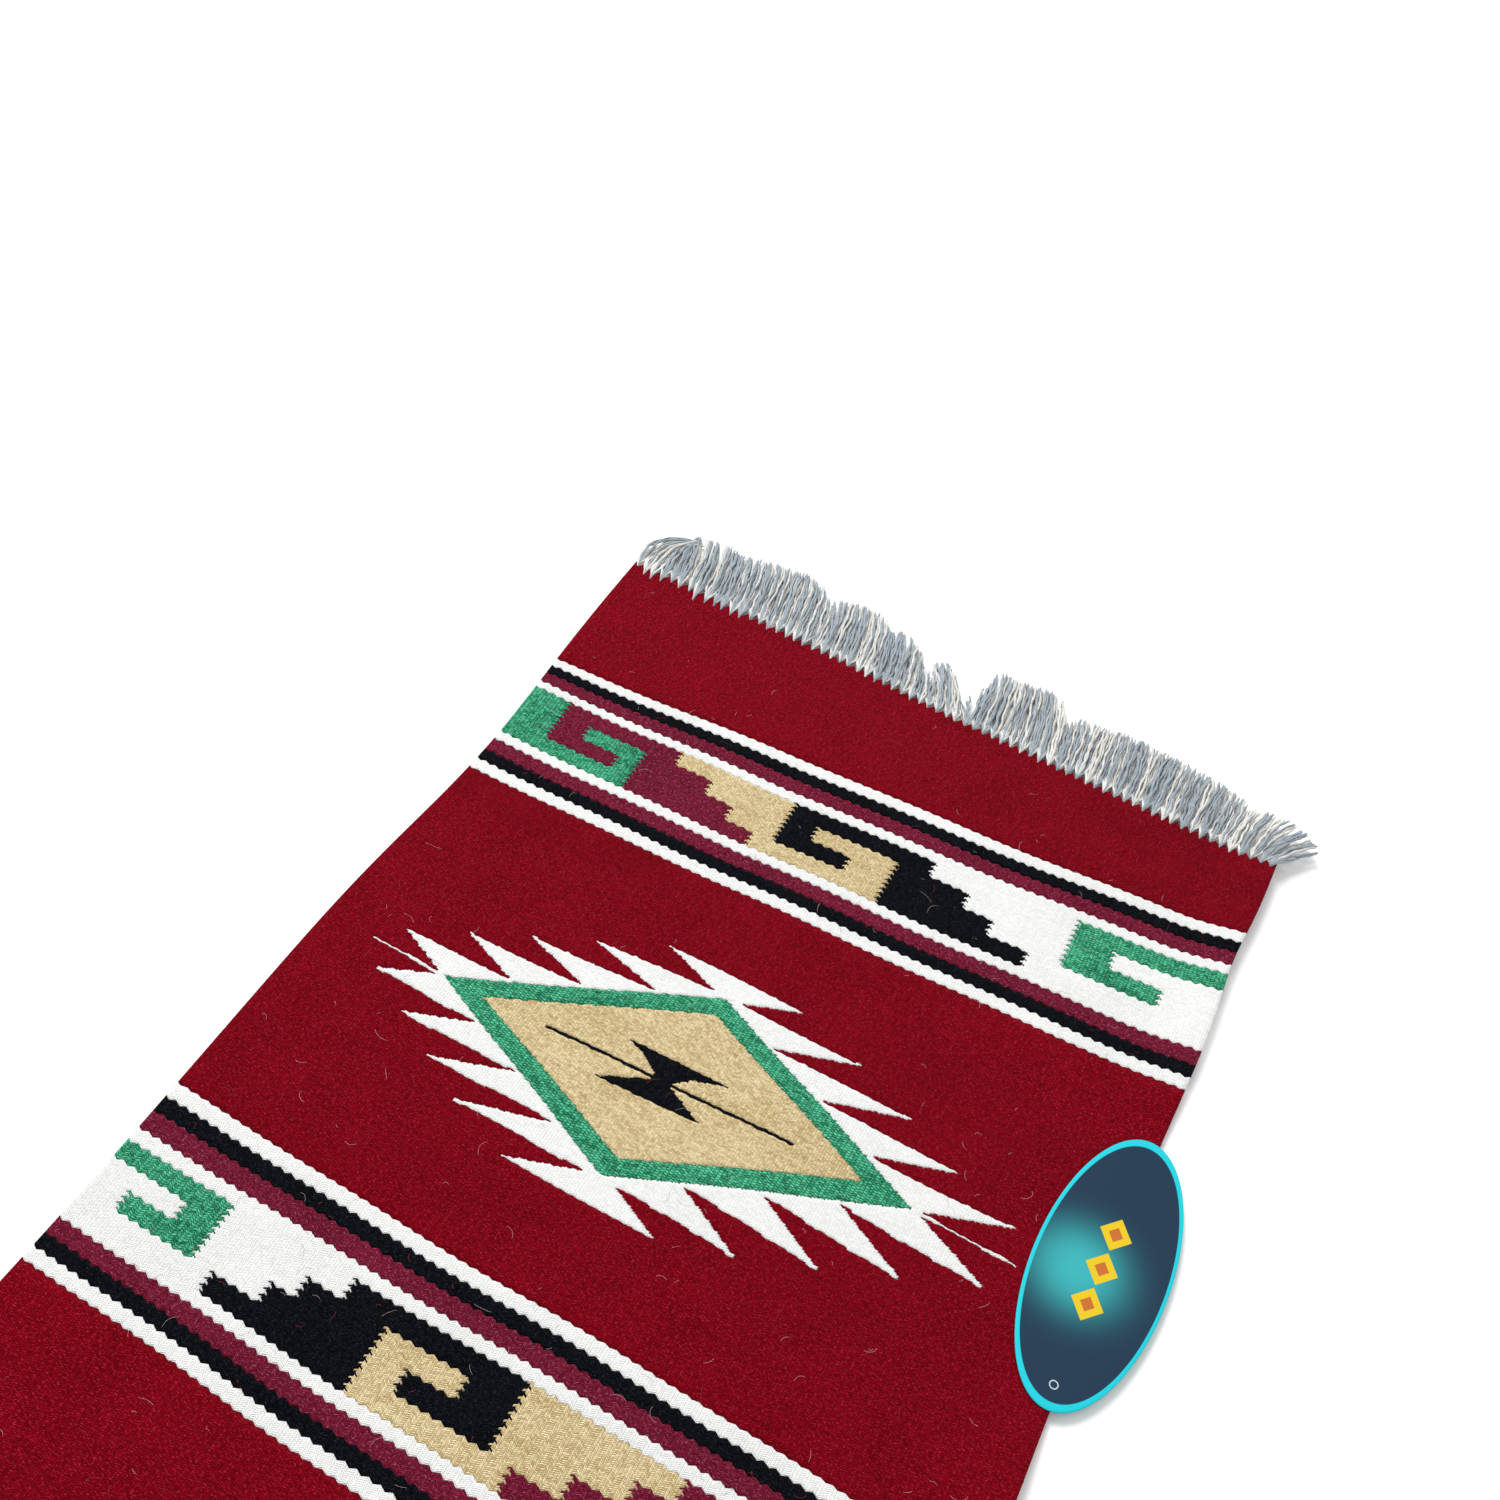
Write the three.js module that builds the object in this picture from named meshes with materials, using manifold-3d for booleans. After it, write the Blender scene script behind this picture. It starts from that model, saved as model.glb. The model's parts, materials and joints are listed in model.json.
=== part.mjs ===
// A hand-woven kilim table runner lying flat, with a loose oval swing tag at its right edge.
// Each colour area is its own weft yarn, packed over and under the warps until it hides them. So an
// area is a flat sleeve around the warps, with the same outline on both faces of the cloth.
// The pattern is charted in pairs of warps across the cloth and in weft rows along it.
// Frame: origin under the middle of the cloth, +X across, +Y towards the far fringe, +Z up.
import * as THREE from "three";
import { mergeVertices } from "three/addons/utils/BufferGeometryUtils.js";
import Module from "manifold-3d";

// Driving dimensions of the cloth, in millimetres where no other unit is said.
const clothWidth = 350;
const clothLength = 824;
const clothThickness = 3.2;
const warpPairs = 70;
const weftRows = 1030;
const seam = 0.3; // between two colour areas that meet
const dropRow = 225; // the cloth hangs over a table's edge here, counted from either end

// Warps: they lie in clumps, left to right, and each clump ends in its own hank of fringe.
const clumpPairs = [10, 9, 9, 8, 9, 12, 13];
const fringeLengths = [38, 45, 44, 32, 48, 43, 40];
const fringeThickness = 2.6;
const fringeTaper = 3; // taken off each side of a hank by its tip
const fringeWidestAt = 0.7; // share of a hank's length
const warpThickness = 1;
const warpClearance = 0.3; // between a warp and the weft around it
const weftWeb = 2.4; // weft that joins both faces between two clumps
const linkWidth = 6; // the pick that ties the clumps of a panel together
const linkFromEnd = 24; // weft rows from an end of the cloth to the link of its panel
const linkFromDrop = 11; // weft rows from the hanging line to the link of the middle panel

// Patterned bands. A line is a weft row at the left selvedge, at bendPair and at the right selvedge.
const bendPair = 26;
const courses = 4; // steps of the fret from its far side to its near side
const stripeShares = [0.24, 0.25, 0.3, 0.21]; // outer white, black, maroon, inner white
const bands = [
  {
    name: "far_band",
    mirrored: false,
    columns: [4, 7, 11, 13, 16, 20, 23, 26, 28, 31, 35, 39, 42, 46, 49, 53, 56, 60, 65],
    farEdge: [103, 89, 60],
    fretFar: [129, 122, 94],
    fretNear: [171, 165, 144],
    nearEdge: [204, 197, 179],
  },
  {
    name: "middle_band",
    mirrored: true,
    columns: [6, 10, 14, 17, 21, 24, 28, 32, 34, 38, 42, 45, 49, 52, 54, 58, 60, 63, 67],
    farEdge: [454, 458, 464],
    fretFar: [490, 491, 497],
    fretNear: [530, 537, 550],
    nearEdge: [560, 569, 582],
  },
  {
    name: "near_band",
    mirrored: false,
    columns: [4, 7, 11, 13, 16, 20, 23, 26, 28, 31, 35, 39, 42, 46, 49, 53, 56, 60, 65],
    farEdge: [826, 833, 851],
    fretFar: [859, 865, 886],
    fretNear: [901, 908, 936],
    nearEdge: [927, 941, 970],
  },
];

// Medallions: every point is [pairs, rows] from the centre, before the medallion leans.
const medallions = [
  { name: "far_diamond", centre: [32.5, 324] },
  { name: "near_diamond", centre: [36, 706] },
];
const lean = 0.34; // weft rows that a medallion climbs for each pair towards the right
const border = { far: [0, -61.5], right: [21.8, 2], near: [-0.6, 62], left: [-20.8, -0.8] };
const field = { far: [0, -50], right: [17.4, 0.5], near: [-0.2, 49.8], left: [-17.1, 0] };
const rootShare = 1.022; // how far out the notches between the flames stop, with the border at 1
const crownNeck = 1.2; // pairs from the far or near corner to the first flame on each side
const flamesPerSide = 4;
const flames = [ // of each quarter: [reach by the crown, reach by the spike, rows that a tip is nearer]
  { from: "far", to: "right", reach: [12.8, 13.5], drop: 1 },
  { from: "near", to: "right", reach: [12.3, 13.4], drop: 8.5 },
  { from: "near", to: "left", reach: [13.5, 10.2], drop: -1.5 },
  { from: "far", to: "left", reach: [12.6, 10.6], drop: 0 },
];
const crowns = { far: [[-6.8, -77.5], [6.5, -75.5]], near: [[5.7, 81], [-8.2, 76]] };
const spikes = { right: [31, 6.5], left: [-27.8, -2.2] };
const spikeHalfRows = 0.6;
const needleHalf = [11.2, 1];
const bowFarWing = [[-2.9, -8.7], [-5, -14.1], [4.5, -14.1], [1.4, -8.4]];
const bowNearWing = [[2, 7], [3.8, 13], [-5.7, 14.1], [-3.6, 7.8]];
const bowWaist = [-1.4, 0.2];

// Swing tag: an oval card that lies across the right selvedge.
const tagWidth = 55;
const tagLength = 130;
const tagThickness = 0.6;
const tagFromFarEnd = 239;
const tagInsideEdge = 3; // its centre, from the selvedge
const tagPoints = 40;

const yarn = {
  red: 0x7e0a1c,
  maroon: 0x661432,
  black: 0x101116,
  white: 0xefeeec,
  tan: 0xd9bc7f,
  green: 0x2f9a6b,
  warp: 0xa9b2bd,
};
const tagColour = 0x26394c;

const wasm = await Module();
wasm.setup();
const { lerp, mapLinear } = THREE.MathUtils;

// The chart reaches half a seam past the cloth, so areas that lose half a seam end on its edges.
const chartWidth = clothWidth + seam;
const chartLength = clothLength + seam;
const acrossOf = (pair) => (pair / warpPairs - 0.5) * chartWidth;
const alongOf = (row) => (0.5 - row / weftRows) * chartLength;

// An outline of [pair, row] points, as counter-clockwise points of the cloth.
function onCloth(chart) {
  const points = chart.map(([pair, row]) => new THREE.Vector2(acrossOf(pair), alongOf(row)));
  return THREE.ShapeUtils.area(points) < 0 ? points.reverse() : points;
}

// The outline moved outwards by distance, with mitred corners.
function grow(outline, distance) {
  return outline.map((point, i) => {
    const arriving = point.clone().sub(outline.at(i - 1)).normalize();
    const leaving = outline[(i + 1) % outline.length].clone().sub(point).normalize();
    const normals = arriving.clone().add(leaving);
    const share = distance / (1 + arriving.dot(leaving));
    return new THREE.Vector2(point.x + normals.y * share, point.y - normals.x * share);
  });
}

function toSolid(geometry) {
  geometry.deleteAttribute("normal");
  geometry.deleteAttribute("uv");
  const merged = mergeVertices(geometry, 1e-4);
  const vertProperties = merged.attributes.position.array;
  const triVerts = new Uint32Array(merged.index.array);
  return new wasm.Manifold(new wasm.Mesh({ numProp: 3, vertProperties, triVerts }));
}

function prism(outline, bottom, top) {
  const options = { depth: top - bottom, bevelEnabled: false };
  const geometry = new THREE.ExtrudeGeometry(new THREE.Shape(outline), options);
  return toSolid(geometry.translate(0, 0, bottom));
}

function box(left, right, near, far, bottom, top) {
  const geometry = new THREE.BoxGeometry(right - left, far - near, top - bottom);
  return toSolid(geometry.translate((left + right) / 2, (near + far) / 2, (bottom + top) / 2));
}

function toMesh(name, solid, color, roughness) {
  const { vertProperties, triVerts } = solid.getMesh();
  const geometry = new THREE.BufferGeometry();
  geometry.setAttribute("position", new THREE.BufferAttribute(vertProperties, 3));
  geometry.setIndex(new THREE.BufferAttribute(triVerts, 1));
  const material = new THREE.MeshStandardMaterial({ color, roughness, metalness: 0 });
  const mesh = new THREE.Mesh(geometry, material);
  mesh.name = name;
  return mesh;
}

// Warps. Each clump is one flat bundle at half the cloth's thickness.
const warpMiddle = clothThickness / 2;
const farEnd = clothLength / 2;
const clumps = clumpPairs.map((pairs, i) => {
  const before = clumpPairs.slice(0, i).reduce((sum, n) => sum + n, 0);
  const margin = weftWeb / 2 + warpClearance;
  return { left: acrossOf(before) + margin, right: acrossOf(before + pairs) - margin };
});

function bundle({ left, right }, near, far, clearance) {
  const reach = warpThickness / 2 + clearance;
  return box(left - clearance, right + clearance, near, far, warpMiddle - reach, warpMiddle + reach);
}

function link(row, clearance) {
  const whole = { left: clumps[0].left, right: clumps.at(-1).right };
  const reach = linkWidth / 2 + clearance;
  return bundle(whole, alongOf(row) - reach, alongOf(row) + reach, clearance);
}

// One hank of fringe past an end of the cloth. Direction is 1 at the far end and -1 at the near end.
function hank({ left, right }, length, direction) {
  const root = farEnd + warpClearance;
  const widest = root + length * fringeWidestAt;
  const tip = root + length;
  const outline = [
    [left, root],
    [right, root],
    [right, widest],
    [right - fringeTaper, tip],
    [left + fringeTaper, tip],
    [left, widest],
  ].map(([x, y]) => new THREE.Vector2(x, y * direction));
  return prism(direction > 0 ? outline : outline.reverse(), 0, fringeThickness);
}

// The warps of a panel. They reach into their hanks, so that both are one piece.
function warps(near, far, linkRow, fringeDirection) {
  let solid = link(linkRow, 0);
  clumps.forEach((clump, i) => {
    const nearReach = fringeDirection < 0 ? warpClearance + fringeTaper : 0;
    const farReach = fringeDirection > 0 ? warpClearance + fringeTaper : 0;
    solid = solid.add(bundle(clump, near - nearReach, far + farReach, 0));
    if (fringeDirection) solid = solid.add(hank(clump, fringeLengths[i], fringeDirection));
  });
  return solid;
}

const linkRows = {
  far: linkFromEnd,
  middle: dropRow + linkFromDrop,
  near: weftRows - linkFromEnd,
};
let tunnels = Object.values(linkRows).map((row) => link(row, warpClearance))
  .reduce((all, one) => all.add(one));
for (const clump of clumps) {
  tunnels = tunnels.add(bundle(clump, -clothLength, clothLength, warpClearance));
}

// A colour area: its outline less the areas woven into it and less the tunnels of the warps.
function area(name, chart, wovenIn, colour) {
  let solid = prism(grow(onCloth(chart), -seam / 2), 0, clothThickness);
  for (const inner of wovenIn) {
    const cutter = prism(grow(onCloth(inner), seam / 2), -clothThickness, 2 * clothThickness);
    solid = solid.subtract(cutter);
  }
  return toMesh(name, solid.subtract(tunnels), yarn[colour], 0.95);
}

// Bands. A line gives a row at the left selvedge, at the bend and at the right selvedge.
const level = (row) => [row, row, row];
const between = (a, b, share) => a.map((row, i) => lerp(row, b[i], share));

function rowOf([left, bend, right], pair) {
  if (pair < bendPair) return mapLinear(pair, 0, bendPair, left, bend);
  return mapLinear(pair, bendPair, warpPairs, bend, right);
}

// The strip of cloth between two lines, from selvedge to selvedge.
function strip(far, near) {
  const pairs = [0, bendPair, warpPairs];
  const farSide = pairs.map((pair, i) => [pair, far[i]]);
  const nearSide = pairs.map((pair, i) => [pair, near[i]]);
  return [...farSide, ...nearSide.reverse()];
}

// The fret's outlines as [pair, course], read from its columns.
function fret(c, last) {
  return {
    maroon_step: [
      [c[0], 0], [c[4], 0], [c[4], 1], [c[5], 1], [c[5], 2],
      [c[6], 2], [c[6], 3], [c[7], 3], [c[7], 4], [c[0], 4],
    ],
    green_scroll: [
      [0, 0], [c[0], 0], [c[0], 3], [c[2], 3], [c[2], 2],
      [c[1], 2], [c[1], 1], [c[3], 1], [c[3], 4], [0, 4],
    ],
    tan_step: [
      [c[4], 0], [c[11], 0], [c[11], 4], [c[7], 4], [c[7], 3],
      [c[6], 3], [c[6], 2], [c[5], 2], [c[5], 1], [c[4], 1],
    ],
    black_step: [
      [c[8], 0], [c[12], 0], [c[12], 1], [c[13], 1], [c[13], 2], [c[14], 2],
      [c[14], 3], [c[15], 3], [c[15], 4], [c[11], 4], [c[11], 1], [c[9], 1],
      [c[9], 2], [c[10], 2], [c[10], 3], [c[8], 3],
    ],
    green_hook: [
      [c[16], 0], [last, 0], [last, 1], [c[17], 1],
      [c[17], 2], [c[18], 2], [c[18], 3], [c[16], 3],
    ],
  };
}

// A fret outline as [pair, row], with a point wherever one of its long sides crosses the bend.
function placed(outline, band) {
  const pairs = outline.map(([pair, course]) => [band.mirrored ? warpPairs - pair : pair, course]);
  const bent = pairs.flatMap(([pair, course], i) => {
    const [next] = pairs[(i + 1) % pairs.length];
    const crosses = (pair - bendPair) * (next - bendPair) < 0;
    return crosses ? [[pair, course], [bendPair, course]] : [[pair, course]];
  });
  return bent.map(([pair, course]) => {
    const far = rowOf(band.fretFar, pair);
    return [pair, lerp(far, rowOf(band.fretNear, pair), course / courses)];
  });
}

// The stripes of one border, from its outer edge to its inner white, which belongs to the ground.
function stripes(name, outer, inner) {
  let share = 0;
  const made = ["white", "black", "maroon"].map((colour, i) => {
    const from = between(outer, inner, share);
    share += stripeShares[i];
    return area(`${name}_${colour}_stripe`, strip(from, between(outer, inner, share)), [], colour);
  });
  return { made, groundEdge: between(outer, inner, share) };
}

function patternedBand(band) {
  const far = stripes(`${band.name}_far`, band.farEdge, band.fretFar);
  const near = stripes(`${band.name}_near`, band.nearEdge, band.fretNear);
  const charts = fret(band.columns, warpPairs);
  const outlines = {};
  for (const key in charts) outlines[key] = placed(charts[key], band);
  const wovenIn = { maroon_step: [outlines.green_scroll], tan_step: [outlines.black_step] };
  const motifs = Object.entries(outlines).map(([key, outline]) =>
    area(`${band.name}_${key}`, outline, wovenIn[key] ?? [], key.split("_")[0]));
  const ground = strip(far.groundEdge, near.groundEdge);
  const white = area(`${band.name}_white_ground`, ground, Object.values(outlines), "white");
  return [...far.made, white, ...motifs, ...near.made];
}

// Medallions. Outlines are drawn about the centre, then leaned and moved to the centre.
const diamond = ({ far, right, near, left }) => [far, right, near, left];

// The flames of one quarter, from its crown to its spike: a notch, then a tip and a notch for each.
function flameQuarter({ from, to, reach, drop }) {
  const way = Math.sign(border[to][0]);
  const turn = Math.sign(border[from][1]);
  const onBorder = (share) => border[from].map((value, axis) => lerp(value, border[to][axis], share));
  const outside = (point) => point.map((value) => value * rootShare);
  const [neckPairs, neckRows] = outside(border[from]);
  const points = [[neckPairs + way * crownNeck, neckRows]];
  for (let i = 0; i < flamesPerSide; i++) {
    const [pairs, rows] = onBorder(i / flamesPerSide);
    points.push([pairs + way * lerp(...reach, i / (flamesPerSide - 1)), rows + drop]);
    points.push(outside(onBorder((i + 1) / flamesPerSide)));
  }
  const [spikePairs, spikeRows] = points.pop();
  return [...points, [spikePairs, spikeRows + turn * spikeHalfRows]];
}

function allFlames() {
  const [farRight, nearRight, nearLeft, farLeft] = flames.map(flameQuarter);
  const spike = ([pairs, rows], turn) =>
    [[pairs, rows - turn * spikeHalfRows], [pairs, rows + turn * spikeHalfRows]];
  return [
    ...crowns.far, ...farRight, ...spike(spikes.right, 1), ...nearRight.reverse(),
    ...crowns.near, ...nearLeft, ...spike(spikes.left, -1), ...farLeft.reverse(),
  ];
}

// A bow tie with a needle through its waist.
function bowAndNeedle() {
  const [reach, half] = needleHalf;
  const [left, right] = bowWaist;
  return [
    ...bowFarWing, [right, -half], [reach, -half], [reach, half], [right, half],
    ...bowNearWing, [left, half], [-reach, half], [-reach, -half], [left, -half],
  ];
}

function medallion({ name, centre: [pair, row] }) {
  const place = (outline) => outline.map(([x, y]) => [pair + x, row + y - lean * x]);
  const shape = {
    flames: place(allFlames()),
    border: place(diamond(border)),
    field: place(diamond(field)),
    bow: place(bowAndNeedle()),
  };
  const made = [
    area(`${name}_flames`, shape.flames, [shape.border], "white"),
    area(`${name}_border`, shape.border, [shape.field], "green"),
    area(`${name}_field`, shape.field, [shape.bow], "tan"),
    area(`${name}_bow`, shape.bow, [], "black"),
  ];
  return { made, outline: shape.flames };
}

function swingTag() {
  const centre = new THREE.Vector2(clothWidth / 2 - tagInsideEdge, farEnd - tagFromFarEnd);
  const oval = new THREE.EllipseCurve(centre.x, centre.y, tagWidth / 2, tagLength / 2);
  const bottom = clothThickness + seam;
  const card = prism(oval.getPoints(tagPoints).slice(0, -1), bottom, bottom + tagThickness);
  return toMesh("swing_tag", card, tagColour, 0.35);
}

const [farBand, middleBand, nearBand] = bands;
const [farDiamond, nearDiamond] = medallions.map(medallion);
const farDrop = level(dropRow);
const nearDrop = level(weftRows - dropRow);
const farDropLine = alongOf(dropRow);
const nearDropLine = alongOf(weftRows - dropRow);
const gap = seam / 2;
const red = (name, far, near, wovenIn = []) => area(name, strip(far, near), wovenIn, "red");

// The end that hangs over the far edge of a table.
const farPanel = new THREE.Group().add(
  toMesh("far_warps", warps(farDropLine + gap, farEnd, linkRows.far, 1), yarn.warp, 0.9),
  red("far_end_red", level(0), farBand.farEdge),
  ...patternedBand(farBand),
  red("far_drop_red", farBand.nearEdge, farDrop),
);

// The part that stays on the table.
const middleWarps = warps(nearDropLine + gap, farDropLine - gap, linkRows.middle, 0);
const middlePanel = new THREE.Group().add(
  toMesh("middle_warps", middleWarps, yarn.warp, 0.9),
  red("far_diamond_red", farDrop, middleBand.farEdge, [farDiamond.outline]),
  ...farDiamond.made,
  ...patternedBand(middleBand),
  red("near_diamond_red", middleBand.nearEdge, nearDrop, [nearDiamond.outline]),
  ...nearDiamond.made,
);

// The end that hangs over the near edge.
const nearPanel = new THREE.Group().add(
  red("near_drop_red", nearDrop, nearBand.farEdge),
  ...patternedBand(nearBand),
  red("near_end_red", nearBand.nearEdge, level(weftRows)),
  toMesh("near_warps", warps(-farEnd, nearDropLine - gap, linkRows.near, -1), yarn.warp, 0.9),
);

const runner = new THREE.Group().add(farPanel, middlePanel, nearPanel, swingTag());

export default runner;
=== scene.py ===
# A hand-woven kilim table runner lying flat, with a loose oval swing tag across its right selvedge.
# Every length is in metres. +X runs across the cloth, +Y towards the far fringe, and +Z up.
import json

import bpy
import numpy as np
from mathutils import Matrix, Vector


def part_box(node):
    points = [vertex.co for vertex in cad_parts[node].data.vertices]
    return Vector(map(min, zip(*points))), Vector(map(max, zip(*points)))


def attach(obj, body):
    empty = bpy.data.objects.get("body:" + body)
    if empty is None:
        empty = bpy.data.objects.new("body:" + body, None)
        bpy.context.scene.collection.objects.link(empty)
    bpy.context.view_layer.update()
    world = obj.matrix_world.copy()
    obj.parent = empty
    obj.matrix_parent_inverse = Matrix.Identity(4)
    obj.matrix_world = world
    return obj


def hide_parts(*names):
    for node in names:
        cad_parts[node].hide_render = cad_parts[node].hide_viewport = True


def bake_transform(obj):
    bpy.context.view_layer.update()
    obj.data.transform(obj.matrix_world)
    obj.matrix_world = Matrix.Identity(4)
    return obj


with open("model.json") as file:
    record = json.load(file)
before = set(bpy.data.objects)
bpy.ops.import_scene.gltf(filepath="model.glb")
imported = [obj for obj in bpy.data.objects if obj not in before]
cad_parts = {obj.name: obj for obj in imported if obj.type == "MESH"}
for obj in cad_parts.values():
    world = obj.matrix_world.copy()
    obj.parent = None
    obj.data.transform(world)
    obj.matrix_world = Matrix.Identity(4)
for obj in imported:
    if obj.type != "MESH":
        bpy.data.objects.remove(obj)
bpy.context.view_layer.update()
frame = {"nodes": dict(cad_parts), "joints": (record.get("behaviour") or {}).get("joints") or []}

# The view. The eye stands over the near half of the runner, a little to the right of its middle,
# and looks down at the far end with its head turned anticlockwise.
camera = bpy.data.objects.new("view", bpy.data.cameras.new("view"))
camera.data.lens = 44.97
camera.data.sensor_width = 36
camera.data.clip_end = 50
eye = (0.1039, -0.2363, 0.6595)
gaze = Vector((-0.1939, 0.6428, -0.7411)).normalized()
side = gaze.cross(Vector((-0.4398, 0.6183, 0.6513))).normalized()
turn = Matrix((side, side.cross(gaze), -gaze)).transposed().to_4x4()
camera.matrix_world = Matrix.Translation(eye) @ turn
bpy.context.scene.collection.objects.link(camera)
bpy.context.scene.camera = camera


# The warps: cotton cords that run the whole length of the runner inside the weft, two to a pair.
# At both ends they come out between the last wefts and hang loose as the fringe, unspun and limp.
CLOTH_WIDTH = 0.350
CLOTH_LENGTH = 0.824
THICKNESS = 0.0032
PAIR = 0.005
END = CLOTH_LENGTH / 2
HALF_WIDTH = CLOTH_WIDTH / 2
# A drop folds at its hinge line. CLEAR_OF_FOLD is a little past it, where the fringed warps start.
HINGE = next(j["pos_m"][1] for j in frame["joints"] if j["name"] == "far_drop_hinge")
CLEAR_OF_FOLD = HINGE + 0.016
WARP_RADIUS = 0.0004
tag_middle = sum((Vector(corner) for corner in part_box("swing_tag")), Vector()) / 2


def smooth(x, low, high):
    """0 before low and 1 after high, with the smoothstep cubic in between."""
    t = np.clip((x - low) / (high - low), 0, 1)
    return t * t * (3 - 2 * t)


def lie(x, y, z):
    """The place of points of the flat cloth as it really lies: the selvedges are drawn in at the
    bands by Gaussians of y, the wefts waver by slow sines, and the cloth stands off the table in
    low ripples and along a right selvedge that curls up a little away from the tag."""
    bands = np.exp(-((y - 0.255) / 0.07) ** 2) + 0.6 * np.exp(-((y + 0.31) / 0.08) ** 2)
    right_band = np.exp(-((y - 0.345) / 0.028) ** 2)
    left_draw = 0.0045 * bands * smooth(-x, -0.03, HALF_WIDTH)
    draw = left_draw - 0.0024 * right_band * smooth(x, 0.02, HALF_WIDTH)
    wander = 0.0007 * np.sin(21 * y + 1.3) * np.abs(x) / HALF_WIDTH
    waver = 0.0005 * np.sin(31 * x + 9 * y) + 0.0003 * np.sin(67 * x - 23 * y + 2)
    ripple = 0.0003 * (1 + np.sin(17 * x + 26 * y)) + 0.0002 * (1 + np.sin(38 * y - 29 * x + 1))
    clear = smooth(np.abs(y - tag_middle.y), 0.05, 0.11)
    curl = 0.0035 * smooth(x, 0.135, 0.178) ** 2 * clear * (1 + 0.4 * np.sin(19 * y + 0.6))
    return np.stack([x + draw + wander, y + waver, z + ripple * (0.3 + 0.7 * clear) + curl], -1)


def hex_colour(code):
    """A hex sRGB colour as linear red, green, blue and alpha."""
    srgb = np.array([int(code[i : i + 2], 16) for i in (1, 3, 5)]) / 255
    linear = np.where(srgb <= 0.04045, srgb / 12.92, ((srgb + 0.055) / 1.055) ** 2.4)
    return (*linear, 1.0)


def add(tree, kind, sockets=(), **settings):
    """Adds a shader node to a tree with its settings. Sockets are a dict by name, or a tuple in
    their order. Each takes a number, a colour, an output, or a node that gives its first output."""
    node = tree.nodes.new("ShaderNode" + kind)
    for key, value in settings.items():
        setattr(node, key, value)
    for key, value in sockets.items() if isinstance(sockets, dict) else enumerate(sockets):
        source = value.outputs[0] if isinstance(value, bpy.types.Node) else value
        if isinstance(source, bpy.types.NodeSocket):
            tree.links.new(source, node.inputs[key])
        else:
            node.inputs[key].default_value = source
    return node


def new_material(name):
    """An empty node material with its Principled shader, joined to the output."""
    material = bpy.data.materials.new(name)
    material.use_nodes = True
    tree = material.node_tree
    tree.nodes.clear()
    shader = add(tree, "BsdfPrincipled")
    add(tree, "OutputMaterial", {"Surface": shader.outputs["BSDF"]})
    return material, tree, shader


def new_piece(name, points, faces, uv, material, rounded=None):
    """A mesh object from arrays: points (n, 3), faces (m, 3 or 4) and uv (n, 2). Its first rounded
    faces are shaded smooth, or all of them."""
    mesh = bpy.data.meshes.new(name)
    mesh.vertices.add(len(points))
    mesh.vertices.foreach_set("co", points.astype(np.float32).ravel())
    mesh.loops.add(faces.size)
    mesh.loops.foreach_set("vertex_index", faces.astype(np.int32).ravel())
    mesh.polygons.add(len(faces))
    starts = np.arange(len(faces), dtype=np.int32) * faces.shape[1]
    mesh.polygons.foreach_set("loop_start", starts)
    mesh.update(calc_edges=True)
    layer = mesh.uv_layers.new(name="weave")
    layer.data.foreach_set("uv", uv[faces.ravel()].astype(np.float32).ravel())
    is_round = np.arange(len(faces)) < (len(faces) if rounded is None else rounded)
    mesh.polygons.foreach_set("use_smooth", is_round)
    mesh.materials.append(material)
    mesh.update()
    piece = bpy.data.objects.new(name, mesh)
    bpy.context.scene.collection.objects.link(piece)
    return piece


def cords(paths, radius, plies, turns, sides):
    """Closed cords along paths (cord, ring, 3). A ring is a circle of sides points whose radius
    bulges with the cosine of plies times its angle, and it turns along the cord. Radius is
    (cord, ring). Gives points, faces and uv, where u is the cord's number and v its length."""
    cord_count, ring_count, _ = paths.shape
    ahead = np.gradient(paths, axis=1)
    ahead /= np.linalg.norm(ahead, axis=-1, keepdims=True)
    across = np.cross(ahead, [0.0, 0.0, 1.0])
    across /= np.linalg.norm(across, axis=-1, keepdims=True)
    above = np.cross(across, ahead)
    steps = np.linalg.norm(np.diff(paths, axis=1), axis=-1)
    length = np.concatenate([np.zeros((cord_count, 1)), np.cumsum(steps, axis=1)], axis=1)
    angle = np.arange(sides) / sides * 2 * np.pi
    bulge = 1 + 0.22 * np.cos(plies * (angle - turns * length[..., None]))
    reach = (radius[..., None] * bulge)[..., None]
    ring = across[:, :, None] * np.cos(angle)[:, None] + above[:, :, None] * np.sin(angle)[:, None]
    points = paths[:, :, None] + reach * ring
    number = np.arange(cord_count * ring_count * sides).reshape(cord_count, ring_count, sides)
    after = np.roll(number, -1, axis=2)
    walls = [number[:, :-1], number[:, 1:], after[:, 1:], after[:, :-1]]
    faces = np.stack(walls, -1).reshape(-1, 4)
    halves = sides // 2
    caps = [
        np.stack([ends[:, i], ends[:, i + 1], ends[:, sides - 2 - i], ends[:, sides - 1 - i]], -1)
        for ends in (number[:, 0], number[:, -1, ::-1])
        for i in range(halves - 1)
    ]
    u = np.broadcast_to(np.arange(cord_count)[:, None, None], number.shape)
    v = np.broadcast_to(length[..., None], number.shape)
    uv = np.stack([u, v], -1).reshape(-1, 2)
    return points.reshape(-1, 3), np.concatenate([faces, *caps]), uv


CORDS_PER_PAIR = 7


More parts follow.
